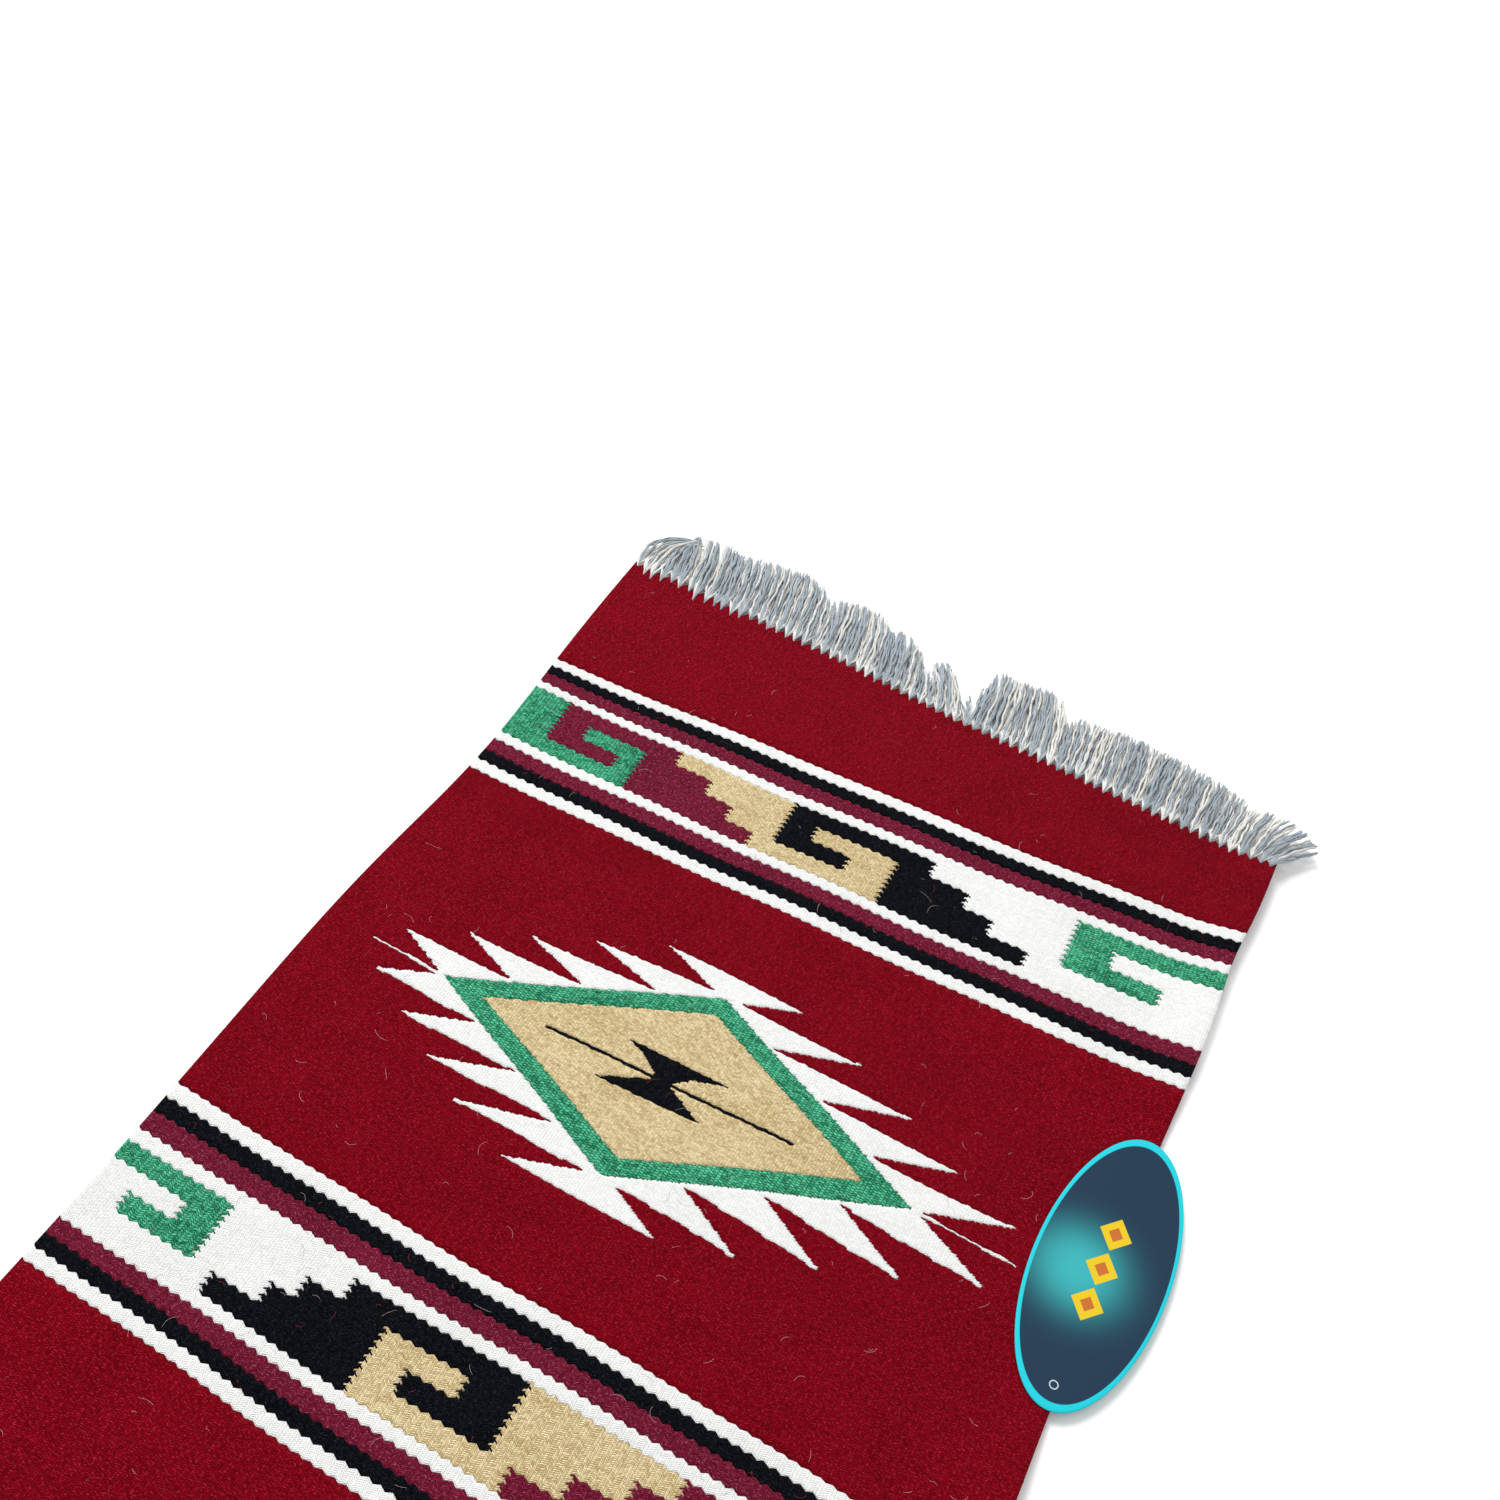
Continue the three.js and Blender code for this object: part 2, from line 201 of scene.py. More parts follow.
def cotton_yarn(name, main, pale):
    """Grey-blue and undyed cotton, spun soft: matt, with the twist as slanted dark lines. The lower
    a cord lies in its hank, the likelier it is undyed, so that pale patches show between the blue
    strands, and there are a few dark husks in it."""
    material, tree, shader = new_material(name)
    uv = add(tree, "UVMap", uv_map="weave")
    split = add(tree, "SeparateXYZ", {"Vector": uv})
    number, length = split.outputs["X"], split.outputs["Y"]
    whole = add(tree, "Math", (number,), operation="ROUND")
    pick = add(tree, "TexWhiteNoise", {"W": whole}, noise_dimensions="1D")
    hank = add(tree, "Math", (whole, CORDS_PER_PAIR * 1.7), operation="DIVIDE")
    clump = add(tree, "TexNoise", {"W": hank, "Scale": 1.0, "Detail": 1.0}, noise_dimensions="1D")
    depth = add(tree, "Math", (whole, float(CORDS_PER_PAIR)), operation="MODULO")
    likely = add(tree, "Math", (depth, -0.12, -0.28), operation="MULTIPLY_ADD")
    likely = add(tree, "Math", (clump, 2.2, likely), operation="MULTIPLY_ADD")
    is_pale = add(tree, "Math", (pick, likely), operation="LESS_THAN")
    apart = add(tree, "Math", (whole, 7.3), operation="MULTIPLY")
    spot = add(tree, "CombineXYZ", {"X": apart, "Y": length})
    slub = add(tree, "TexNoise", {"Vector": spot, "Scale": 260, "Detail": 2})
    colours = {"Factor": is_pale, "A": hex_colour(main), "B": hex_colour(pale)}
    base = add(tree, "Mix", colours, data_type="RGBA")
    thick = {"Value": slub, "From Min": 0.3, "From Max": 0.7, "To Min": 0.8, "To Max": 1.14}
    shade = add(tree, "MapRange", thick)
    vary = add(tree, "MapRange", {"Value": pick, "To Min": 0.9, "To Max": 1.1})
    dots = add(tree, "TexNoise", {"Vector": spot, "Scale": 900, "Detail": 0})
    is_husk = add(tree, "Math", (dots, 0.83), operation="GREATER_THAN")
    husk = add(tree, "Math", (is_husk, -0.6, 1.0), operation="MULTIPLY_ADD")
    level = add(tree, "Math", (shade, vary), operation="MULTIPLY")
    level = add(tree, "Math", (level, husk), operation="MULTIPLY")
    shaded = {"Factor": 1.0, "A": base.outputs["Result"], "B": level}
    tint = add(tree, "Mix", shaded, data_type="RGBA", blend_type="MULTIPLY")
    tree.links.new(tint.outputs["Result"], shader.inputs["Base Color"])
    shader.inputs["Roughness"].default_value = 0.92
    shader.inputs["Specular IOR Level"].default_value = 0.2
    shader.inputs["Sheen Weight"].default_value = 0.25
    shader.inputs["Sheen Roughness"].default_value = 0.5
    return material


warp_cotton = cotton_yarn("warp_cotton", "#8f989f", "#cfcdc8")

# The fringe, by the distance of a cord's root from the left selvedge in mm: how long it hangs and
# how many degrees it leans to the left. It is a thick mat, combed apart into hanks with two gaps,
# and its left corner is swept round to the right.
FRINGE = np.array([
    (0, 36, 14), (15, 36, 13), (42, 43, 12), (53, 40, 12), (70, 46, 12), (90, 49, 12),
    (100, 43, 12), (104, 36, 12), (110, 43, 12), (125, 46, 12), (134, 44, 12), (138, 37, 12),
    (146, 41, 13), (157, 34, 14), (167, 18, 17), (169, 33, 19), (179, 37, 23), (184, 29, 25),
    (187, 14, 25), (189, 30, 4), (194, 45, 6), (215, 47, 9), (228, 49, 11), (233, 43, 12),
    (235, 29, 11), (241, 39, 6), (265, 43, 3), (290, 42, 1), (310, 39, -1), (322, 36, -3),
    (327, 31, -5), (335, 35, -12), (343, 34, -26), (350, 27, -38),
])
CORNER_SWEEP = np.radians(38)
OFFSETS = np.array([-3, 3, -2, 2, -1, 1, 0])
CORD_RADIUS = 0.00062
MAT_DEPTH = 0.0034
TWIST = 420.0
warp_pairs = int(CLOTH_WIDTH / PAIR)


def fringed_warps(name, way, seed):
    """Cords from clear of the fold to near the cloth's end and on as fringe. The cords of a pair
    come out of the face at one point, a few millimetres inside the end, lie over the last wefts,
    and spread into the mat. Then each leans, wanders by two sines, and sinks from its layer of the
    mat towards the table."""
    chance = np.random.default_rng(seed)
    count = warp_pairs * CORDS_PER_PAIR
    pair = np.repeat(np.arange(warp_pairs), CORDS_PER_PAIR)
    layer = np.tile(np.arange(CORDS_PER_PAIR), warp_pairs)
    root = (pair + 0.5) * PAIR + chance.uniform(-0.0005, 0.0005, warp_pairs)[pair]
    place = root + OFFSETS[layer] * PAIR / CORDS_PER_PAIR + chance.uniform(-0.0003, 0.0003, count)
    loosened = 1 - smooth((pair + 0.5) * PAIR, 0.03, 0.08)
    overlap = 0.0010 + (0.0016 + 0.0055 * loosened) * chance.random(warp_pairs)[pair]
    overlap = (overlap + chance.uniform(-0.0003, 0.0003, count))[:, None]
    inside = np.array([0, 0.35, 0.7, 0.95, 1])
    start, root_y = CLEAR_OF_FOLD, END - overlap
    loose = np.linspace(0, 1, 26)
    from_left, lengths, leans = FRINGE.T
    length = np.interp(place * 1000, from_left, lengths) / 1000 * chance.uniform(0.97, 1.0, count)
    lean = np.radians(np.interp(place * 1000, from_left, leans) + chance.normal(0, 1.4, count))
    run = (length[:, None] + overlap) * loose
    swept = CORNER_SWEEP * (1 - smooth(place, 0, 0.030))
    bend = lean[:, None] * (0.55 + 0.45 * loose) - swept[:, None] * loose**2
    spread = (place - root)[:, None] * smooth(run, 0, overlap + 0.0045)
    sway = chance.uniform(0, 6.3, (2, count, 1))
    wander = 0.0006 * np.sin(6 * loose + sway[0]) + 0.0003 * np.sin(19 * loose + sway[1])
    x_loose = root[:, None] + spread - run * np.sin(bend) + wander * smooth(loose, 0, 0.3)
    y_loose = root_y + run * np.cos(bend)
    level = layer[:, None] + chance.uniform(-0.4, 0.4, (count, 1))
    low = CORD_RADIUS + level * MAT_DEPTH / CORDS_PER_PAIR
    low = np.maximum(low, CORD_RADIUS * 1.3)
    height = THICKNESS / 2 + chance.uniform(-0.0003, 0.0003, (count, 1))
    on_face = THICKNESS + 0.0001 + layer[:, None] * 0.00004
    climb = on_face - 0.0005 * (1 - smooth(run, 0, 0.6 * overlap))
    sunk = smooth(run - overlap, 0.0005, 0.010)
    z_loose = climb * (1 - sunk) + low * sunk + 0.0006 * np.sin(np.pi * np.minimum(1, loose * 1.2))
    z_loose = z_loose - (z_loose - CORD_RADIUS * 1.3) * 0.45 * smooth(loose, 0.55, 1)
    held = (count, inside.size)
    x = np.concatenate([np.broadcast_to(root[:, None], held), x_loose], axis=1) - HALF_WIDTH
    y = np.concatenate([start + inside * (root_y - 0.0012 - start), y_loose], axis=1)
    z = np.concatenate([np.broadcast_to(height, held), z_loose], axis=1)
    radius = np.full(z.shape, CORD_RADIUS)
    radius[:, : inside.size] = WARP_RADIUS
    radius[:, inside.size] *= 0.7
    radius[:, -2:] *= [0.95, 0.55]
    points, faces, uv = cords(lie(x, y * way, z), radius, 2, TWIST, 6)
    return new_piece(name, points, faces, uv, warp_cotton)


warp_cords = {}
for end, way in (("far", 1), ("near", -1)):
    warps = warp_cords[end] = fringed_warps(f"{end}_warp_cords", way, 11 + way)
    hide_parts(f"{end}_warps")
    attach(warps, f"{end}_drop")

pair_x = (np.arange(2 * warp_pairs) + 0.5) * PAIR / 2 - HALF_WIDTH
along = np.linspace(-HINGE + 0.003, HINGE - 0.003, 30)
grid_x, grid_y = np.meshgrid(pair_x, along, indexing="ij")
paths = lie(grid_x, grid_y, np.full(grid_x.shape, THICKNESS / 2))
points, faces, uv = cords(paths, np.full(grid_x.shape, WARP_RADIUS), 2, TWIST, 6)
middle_cords = new_piece("middle_warp_cords", points, faces, uv, warp_cotton)
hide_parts("middle_warps")
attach(middle_cords, "runner_middle")


# The red grounds: soft-spun wool weft, dyed crimson and beaten down until it hides the warps.
# Every area of the cloth is such a weft, so the loom's grid of warps and wefts is set out here.
COLUMN = 0.00125
RIB_DEPTH = 0.00006
JOIN_DIP = 0.00028  # how far each face sinks where two colours meet
SCALLOP = 0.00066  # half the height of the waves along a stripe
SOFT_SCALLOP = 0.00018  # the same away from the stripes
END_TOOTH = 0.0018
HALF_SEAM = 0.00015  # half the gap between two CAD areas
RIM_INSET = 0.0002  # from the selvedge to where the lines of the CAD areas are read
CELL_INSET = 0.0005  # the same from the edges of the cloth for the cells
BANDS = ("far_band", "middle_band", "near_band")
STRIPES = ("white", "black", "maroon")
INNER_WHITE = 0.21  # the innermost stripe's share of a group of four
MEDALLIONS = ("far_diamond", "near_diamond")
SHAPE_COLOURS = {"flames": "white", "border": "green", "field": "tan", "bow": "black"}
FINE_ROW = 0.0008
PLAIN_ROW = 0.0022
COURSE_ROWS = 12  # rows of the grid to a course, which is a step of the fret
LEAST_COURSE, MOST_COURSE = 0.0078, 0.03  # a stripe is narrower, and a medallion is longer
END_FADE = 0.0025  # how fast the teeth of an end die away
THINNEST = 0.0002  # half the thickness left at the round edges


def rim_of(node):
    """The edges round the top face of a CAD node as (n, 2, 2): the sides of its top triangles
    that no other top triangle shares."""
    mesh = frame["nodes"][node].data
    corners = np.empty(len(mesh.vertices) * 3, dtype=np.float32)
    mesh.vertices.foreach_get("co", corners)
    corners = corners.reshape(-1, 3).astype(float)
    mesh.calc_loop_triangles()
    triangles = np.empty(len(mesh.loop_triangles) * 3, dtype=np.int32)
    mesh.loop_triangles.foreach_get("vertices", triangles)
    triangles = triangles.reshape(-1, 3)
    just_below = corners[:, 2].max() - 1e-5
    top = triangles[(corners[triangles][:, :, 2] > just_below).all(axis=1)]
    sides = np.concatenate([top[:, [0, 1]], top[:, [1, 2]], top[:, [2, 0]]])
    ends = corners[sides][:, :, :2]
    # The key of an end is its place in hundredths of a millimetre, as one whole number.
    keys = np.round(ends * 1e5).astype(np.int64) + 100000
    keys = keys[..., 0] * 1000000 + keys[..., 1]
    _, place, times = np.unique(np.sort(keys, axis=1), axis=0, return_index=True, return_counts=True)
    return ends[place[times == 1]]


def side_line(node, x, way):
    """The far (way 1) or near (way -1) side of a node that runs from selvedge to selvedge, as y at
    each x: the furthest crossing of its rim, moved out by half a seam."""
    at = np.clip(x, RIM_INSET - HALF_WIDTH, HALF_WIDTH - RIM_INSET)[:, None]
    start, end = rim_of(node).transpose(1, 0, 2)
    low, high = np.minimum(start[:, 0], end[:, 0]), np.maximum(start[:, 0], end[:, 0])
    spans = (high - low > 1e-6) & (low <= at) & (at <= high)
    share = (at - start[:, 0]) / np.where(high - low > 1e-6, end[:, 0] - start[:, 0], 1)
    crossing = np.where(spans, start[:, 1] + share * (end[:, 1] - start[:, 1]), -way * np.inf)
    return (crossing.max(axis=1) if way > 0 else crossing.min(axis=1)) + way * HALF_SEAM


inner = np.arange(-HALF_WIDTH + COLUMN, HALF_WIDTH - COLUMN / 2, COLUMN)
edge = np.array([0, 0.0002, 0.0006])  # closer columns, where the selvedge is round
columns = np.concatenate([-HALF_WIDTH + edge, inner, HALF_WIDTH - edge[::-1]])


def band_lines(band):
    """The lines of a band from its far edge to its near edge, with the rows up to the next one."""
    lines = []
    for way, end in ((1, "far"), (-1, "near")):
        outer = [side_line(f"{band}_{end}_{colour}_stripe", columns, way) for colour in STRIPES]
        ground = side_line(f"{band}_{end}_maroon_stripe", columns, -way)
        fret = outer[0] + (ground - outer[0]) / (1 - INNER_WHITE)
        lines.append([*outer, ground, fret])
    (far, near) = lines
    courses = [far[4] + (near[4] - far[4]) * share for share in (0.25, 0.5, 0.75)]
    return [*far, *courses, *near[::-1]]


def level(y):
    return np.full(columns.shape, y)


# The stops are the lines that rows follow, from the far end to the near end, each with the pitch of
# the rows up to the next. The first and last few are close together, where the ends are round.
END_STEPS = (0, 0.0007, 0.0018)
stops = [(level(END - depth), PLAIN_ROW) for depth in END_STEPS]
for band, diamond in zip(BANDS, (*MEDALLIONS, None)):
    lines = band_lines(band)
    if band == "near_band":
        stops.append((level(-HINGE), PLAIN_ROW))
    stops += [(line, FINE_ROW) for line in lines[:-1]]
    stops.append((lines[-1], PLAIN_ROW))
    if band == "far_band":
        stops.append((level(HINGE), PLAIN_ROW))
    if diamond:
        near_end, far_end = (corner[1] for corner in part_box(f"{diamond}_flames"))
        stops += [(level(far_end + FINE_ROW), FINE_ROW), (level(near_end - FINE_ROW), PLAIN_ROW)]
stops += [(level(depth - END), PLAIN_ROW) for depth in reversed(END_STEPS)]

row_lines, row_tooth, row_scallop = [stops[0][0]], [], [SCALLOP]
for (line, pitch), (next_line, _) in zip(stops, stops[1:]):
    gap = (line - next_line).mean()
    in_band = pitch == FINE_ROW and gap < MOST_COURSE
    in_fret = in_band and gap > LEAST_COURSE
    count = COURSE_ROWS if in_fret else max(1, int(round(gap / pitch)))
    share = np.arange(1, count + 1)[:, None] / count
    row_lines.extend(line + (next_line - line) * share)
    wave = np.array([1, 0, -1, 0]) if in_fret else np.zeros(4)
    row_tooth.extend(wave[np.arange(count) % 4])
    row_scallop.extend([SCALLOP if in_band else SOFT_SCALLOP] * count)
row_lines, row_tooth = np.array(row_lines), np.array(row_tooth)
row_scallop = np.convolve(np.pad(row_scallop, 2, mode="edge"), np.ones(5) / 5, mode="valid")[:, None]

# The cell in the middle of four corners of the grid belongs to the area that its centre is in.
cell_x = np.broadcast_to((columns[1:] + columns[:-1]) / 2, (len(row_lines) - 1, len(columns) - 1))
cell_y = (row_lines[1:, 1:] + row_lines[:-1, 1:] + row_lines[1:, :-1] + row_lines[:-1, :-1]) / 4
areas = [name for name in frame["nodes"] if not name.endswith("warps") and name != "swing_tag"]
cell_limit = HALF_WIDTH - CELL_INSET
tooth_x = np.clip(cell_x + row_tooth[:, None] * COLUMN, -cell_limit, cell_limit)
cell_area = np.full(cell_x.shape, -1)


def inside(node, shift=0.0):
    """The cells whose centres, moved along the cloth by shift, lie inside a node's rim: those
    from which a line to the right crosses the rim an odd number of times."""
    rim = rim_of(node)
    (low_x, low_y), (high_x, high_y) = rim.min(axis=(0, 1)), rim.max(axis=(0, 1))
    y = np.clip(cell_y, CELL_INSET - END, END - CELL_INSET) + shift
    near = (tooth_x > low_x) & (tooth_x < high_x) & (y > low_y) & (y < high_y)
    px, py = tooth_x[near], y[near]
    odd = np.zeros(px.shape, dtype=bool)
    for (x1, y1), (x2, y2) in rim:
        if y1 != y2:
            odd ^= ((y1 > py) != (y2 > py)) & (px < x1 + (py - y1) * (x2 - x1) / (y2 - y1))
    found = np.zeros(cell_x.shape, dtype=bool)
    found[near] = odd
    return found


for number, name in enumerate(areas):
    cell_area[inside(name)] = number
# Where a flame or a needle is thinner than one weft, it is still drawn one weft thick.
is_tip = np.zeros(cell_x.shape, dtype=bool)
for diamond in MEDALLIONS:
    for shape, cloth in (("flames", f"{diamond}_red"), ("bow", f"{diamond}_field")):
        for shift in (-FINE_ROW / 2, FINE_ROW / 2):
            number = areas.index(f"{diamond}_{shape}")
            full = cell_area == number
            beside_full = full | np.roll(full, 1, axis=0) | np.roll(full, -1, axis=0)
            thin = inside(f"{diamond}_{shape}", shift) & np.isin(cell_area, [-1, areas.index(cloth)])
            thin &= ~beside_full
            cell_area[thin] = number
            is_tip |= thin
# A cell whose centre fell in a seam takes the area of a neighbour.
for _ in range(4):
    for axis, step in ((1, 1), (1, -1), (0, 1), (0, -1)):
        beside = np.roll(cell_area, step, axis=axis)
        cell_area = np.where(cell_area < 0, beside, cell_area)
# Cells that would touch only at a corner are joined.
for _ in range(8):
    a, b, c, d = cell_area[:-1, :-1], cell_area[:-1, 1:], cell_area[1:, :-1], cell_area[1:, 1:]
    touch = ((a == d) & (b != a) & (c != a)) | ((b == c) & (a != b) & (d != b))
    if not touch.any():
        break
    cell_area[1:, :-1] = np.where(touch, cell_area[:-1, :-1], cell_area[1:, :-1])

# Corners of the grid where two colours meet sink a little, on both faces.
COLOURS = ("red", "maroon", "black", "white", "tan", "green")


def colour_of(node):
    """The colour that an area's name says, or the one of its shape in a medallion."""
    words = [SHAPE_COLOURS.get(word, word) for word in node.split("_")]
    return next(word for word in reversed(words) if word in COLOURS)


cell_colour = np.array([COLOURS.index(colour_of(name)) for name in areas])[cell_area]
padded = np.pad(cell_colour, 1, mode="edge")
quarters = [padded[:-1, :-1], padded[:-1, 1:], padded[1:, :-1], padded[1:, 1:]]
at_join = np.any([quarter != quarters[0] for quarter in quarters], axis=0)
from_left = np.broadcast_to(columns + HALF_WIDTH, row_lines.shape)
on_tip = np.pad(is_tip, 1)
on_tip = on_tip[:-1, :-1] | on_tip[:-1, 1:] | on_tip[1:, :-1] | on_tip[1:, 1:]


def draw_on(outline, grid_x, grid_y):
    """Slides the corners of the grid that lie where two colours meet on to an outline: along their
    warp where a side of the outline is flat, and along their weft where it is steep."""
    free = at_join & ~on_tip
    weft_y = row_lines[:, columns.size // 2]
    for (x1, y1), (x2, y2) in outline:
        if abs(y2 - y1) * COLUMN < abs(x2 - x1) * FINE_ROW:
            column = np.flatnonzero((columns - x1) * (columns - x2) <= 0)
            y = y1 + (columns[column] - x1) / (x2 - x1) * (y2 - y1)
            row = np.abs(row_lines[:, column] - y).argmin(axis=0)
            kept = free[row, column]
            grid_y[row[kept], column[kept]] = y[kept]
        else:
            row = np.flatnonzero((weft_y - y1) * (weft_y - y2) <= 0)
            x = x1 + (weft_y[row] - y1) / (y2 - y1) * (x2 - x1)
            column = np.abs(columns - x[:, None]).argmin(axis=1)
            kept = free[row, column]
            grid_x[row[kept], column[kept]] = x[kept]


grid_x, grid_y = np.broadcast_to(columns, row_lines.shape).copy(), row_lines.copy()
for diamond in MEDALLIONS:
    for shape in SHAPE_COLOURS:
        draw_on(rim_of(f"{diamond}_{shape}"), grid_x, grid_y)
at_end = np.exp(-(END - np.abs(row_lines)) / END_FADE)
tooth = row_scallop * (1 - at_end) + END_TOOTH * np.sign(row_lines) * at_end
grid_y += tooth * np.cos(2 * np.pi * from_left / PAIR)
half_thick = THICKNESS / 2
curve = np.clip((np.abs(grid_x) - HALF_WIDTH + half_thick) / half_thick, 0, 1)
curve = np.maximum(curve, np.clip((np.abs(row_lines) - END + half_thick) / half_thick, 0, 1) * 0.9)
half_depth = np.maximum(half_thick * np.sqrt(1 - curve**2), THINNEST)
valley = RIB_DEPTH * (0.5 + 0.5 * np.cos(2 * np.pi * from_left / (PAIR / 2))) * (curve < 0.5)
half_depth = half_depth - valley - JOIN_DIP * at_join * (curve < 0.5)
top_points = lie(grid_x, grid_y, half_thick + half_depth)
bottom_points = lie(grid_x, grid_y, half_thick - half_depth)
weft_uv = np.stack([from_left, np.broadcast_to(END - row_lines.mean(axis=1)[:, None], grid_x.shape)], -1)
corner_number = np.arange(grid_x.size).reshape(grid_x.shape)


def woven(name, nodes, material):
    """A closed flat sleeve over all cells of the nodes' areas: quads above, the same quads turned
    over below, and a wall wherever the next cell belongs to another area."""
    wanted = np.isin(cell_area, [areas.index(node) for node in nodes])
    around = np.pad(wanted, 1)
    n = corner_number
    corners = {"nw": n[:-1, :-1], "ne": n[:-1, 1:], "sw": n[1:, :-1], "se": n[1:, 1:]}
    under = grid_x.size
    top = np.stack([corners[key][wanted] for key in ("sw", "se", "ne", "nw")], -1)
    faces = [top, top[:, ::-1] + under]
    sides = (
        ("sw", "nw", around[1:-1, :-2]),
        ("ne", "se", around[1:-1, 2:]),
        ("nw", "ne", around[:-2, 1:-1]),
        ("se", "sw", around[2:, 1:-1]),
    )
    for first, second, beside in sides:
        bare = wanted & ~beside
        a, b = corners[first][bare], corners[second][bare]
        faces.append(np.stack([a, b, b + under, a + under], -1))
    faces = np.concatenate(faces)
    used, faces = np.unique(faces, return_inverse=True)
    points = np.concatenate([top_points.reshape(-1, 3), bottom_points.reshape(-1, 3)])[used]
    uv = np.concatenate([weft_uv.reshape(-1, 2)] * 2)[used]
    faces = faces.reshape(-1, 4)
    piece = new_piece(name, points, faces, uv, material, rounded=2 * len(top))
    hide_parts(*nodes)
    return piece


def wool_weft(name, dark, light, fibre, shadow=0.5, width=PAIR / 4, course=0.0008):
    """Soft-spun wool, dyed in the hank and packed tight over cotton warps: dull, faintly downy,
    in floats of a width that stack in ribs and alternate from one rib to the next. Each float
    takes the dye a little differently, and the hanks drift in tone along the cloth. Paler fibres
    lie on it as short dashes along the weft. Painted shade darkens the gaps between the floats and
    a painted highlight lightens their crowns. Shadow is how bright the painted shade in the gaps is,
    because light wool lights up its own gaps, and course is how far apart the floats lie."""
    material, tree, shader = new_material(name)
    uv = add(tree, "UVMap", uv_map="weave")
    split = add(tree, "SeparateXYZ", {"Vector": uv})
    u, v = split.outputs["X"], split.outputs["Y"]
    ribs = add(tree, "Math", (u, width), operation="DIVIDE")
    rib = add(tree, "Math", (ribs,), operation="FLOOR")
    across = add(tree, "Math", (ribs,), operation="FRACT")
    is_odd = add(tree, "Math", (rib, 2.0), operation="MODULO")
    jitter = add(tree, "TexNoise", {"Vector": uv, "Scale": 160.0, "Detail": 1.0})
    sway = add(tree, "Math", (jitter, 0.9), operation="MULTIPLY")
    floats = add(tree, "Math", (v, course), operation="DIVIDE")
    floats = add(tree, "Math", (is_odd, 0.5, floats), operation="MULTIPLY_ADD")
    floats = add(tree, "Math", (floats, sway), operation="ADD")
    number = add(tree, "Math", (floats,), operation="FLOOR")
    along = add(tree, "Math", (floats,), operation="FRACT")
    cell = add(tree, "CombineXYZ", {"X": rib, "Y": number})
    pick = add(tree, "TexWhiteNoise", {"Vector": cell}, noise_dimensions="2D")
    # Each float is round across and along: 4 t (1 - t) to a power, from one edge to the other.
    rounds = []
    for share, power in ((across, 0.35), (along, 0.9)):
        rest = add(tree, "Math", (1.0, share), operation="SUBTRACT")
        arch = add(tree, "Math", (share, rest), operation="MULTIPLY")
        arch = add(tree, "Math", (arch, 4.0), operation="MULTIPLY")
        rounds.append(add(tree, "Math", (arch, power), operation="POWER"))
    crown = add(tree, "Math", rounds, operation="MULTIPLY")
    stretch = add(tree, "VectorMath", (uv, (30.0, 700.0, 1.0)), operation="MULTIPLY")
    hank = add(tree, "TexNoise", {"Vector": stretch, "Scale": 1.0, "Detail": 2.0})
    drift = add(tree, "TexNoise", {"Vector": uv, "Scale": 34.0, "Detail": 3.0})
    mixed = add(tree, "Math", (pick, 0.34), operation="MULTIPLY")
    mixed = add(tree, "Math", (hank, 0.36, mixed), operation="MULTIPLY_ADD")
    mixed = add(tree, "Math", (drift, 0.30, mixed), operation="MULTIPLY_ADD")
    shade = add(tree, "MapRange", {"Value": mixed, "From Min": 0.28, "From Max": 0.72})
    colours = {"Factor": shade, "A": hex_colour(dark), "B": hex_colour(light)}
    dye = add(tree, "Mix", colours, data_type="RGBA")
    # Painted shade and highlight: the dye is darkened in the gaps between the floats and lightened on
    # their crowns, as light would fall on the weave.
    depth = add(tree, "MapRange", {"Value": crown, "To Min": shadow, "To Max": 1.14 - 0.12 * shadow})
    shaded = {"Factor": 1.0, "A": dye.outputs["Result"], "B": depth}
    tint = add(tree, "Mix", shaded, data_type="RGBA", blend_type="MULTIPLY")
    dashes = add(tree, "VectorMath", (uv, (700.0, 2400.0, 1.0)), operation="MULTIPLY")
    loose = add(tree, "TexNoise", {"Vector": dashes, "Scale": 1.0, "Detail": 1.0})
    showing = {"Value": loose, "From Min": 0.57, "From Max": 0.72, "To Min": 0.0, "To Max": 0.7}
    shown = add(tree, "MapRange", showing)
    dashed = {"Factor": shown, "A": tint.outputs["Result"], "B": hex_colour(fibre)}
    tint = add(tree, "Mix", dashed, data_type="RGBA")
    tree.links.new(tint.outputs["Result"], shader.inputs["Base Color"])
    hair = add(tree, "TexNoise", {"Vector": uv, "Scale": 2600.0, "Detail": 2.0})
    relief = add(tree, "Math", (hair, 0.35, crown), operation="MULTIPLY_ADD")
    bump = add(tree, "Bump", {"Height": relief, "Strength": 0.8, "Distance": 0.0004})
    tree.links.new(bump.outputs["Normal"], shader.inputs["Normal"])
    shader.inputs["Roughness"].default_value = 0.95
    shader.inputs["Specular IOR Level"].default_value = 0.03
    shader.inputs["Sheen Weight"].default_value = 0.01
    shader.inputs["Sheen Roughness"].default_value = 0.4
    return material


red_wool = wool_weft("wool_weft_crimson", "#62010a", "#830317", "#aa2a40", shadow=0.7)
grounds, ground_nodes = {}, {}
for end, way in (("far", 1), ("near", -1)):
    outer = f"{end}_end_red_weft"
    ground_nodes[outer] = [f"{end}_end_red"]
    grounds[outer] = woven(outer, ground_nodes[outer], red_wool)
    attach(grounds[outer], f"{end}_drop")
    # The panel round the medallion is one cloth with the red strip on the drop's side of the hinge.
    panel = f"{end}_panel_red_weft"
    ground_nodes[panel] = [f"{end}_drop_red", f"{end}_diamond_red"]
    grounds[panel] = woven(panel, ground_nodes[panel], red_wool)
    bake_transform(grounds[panel])


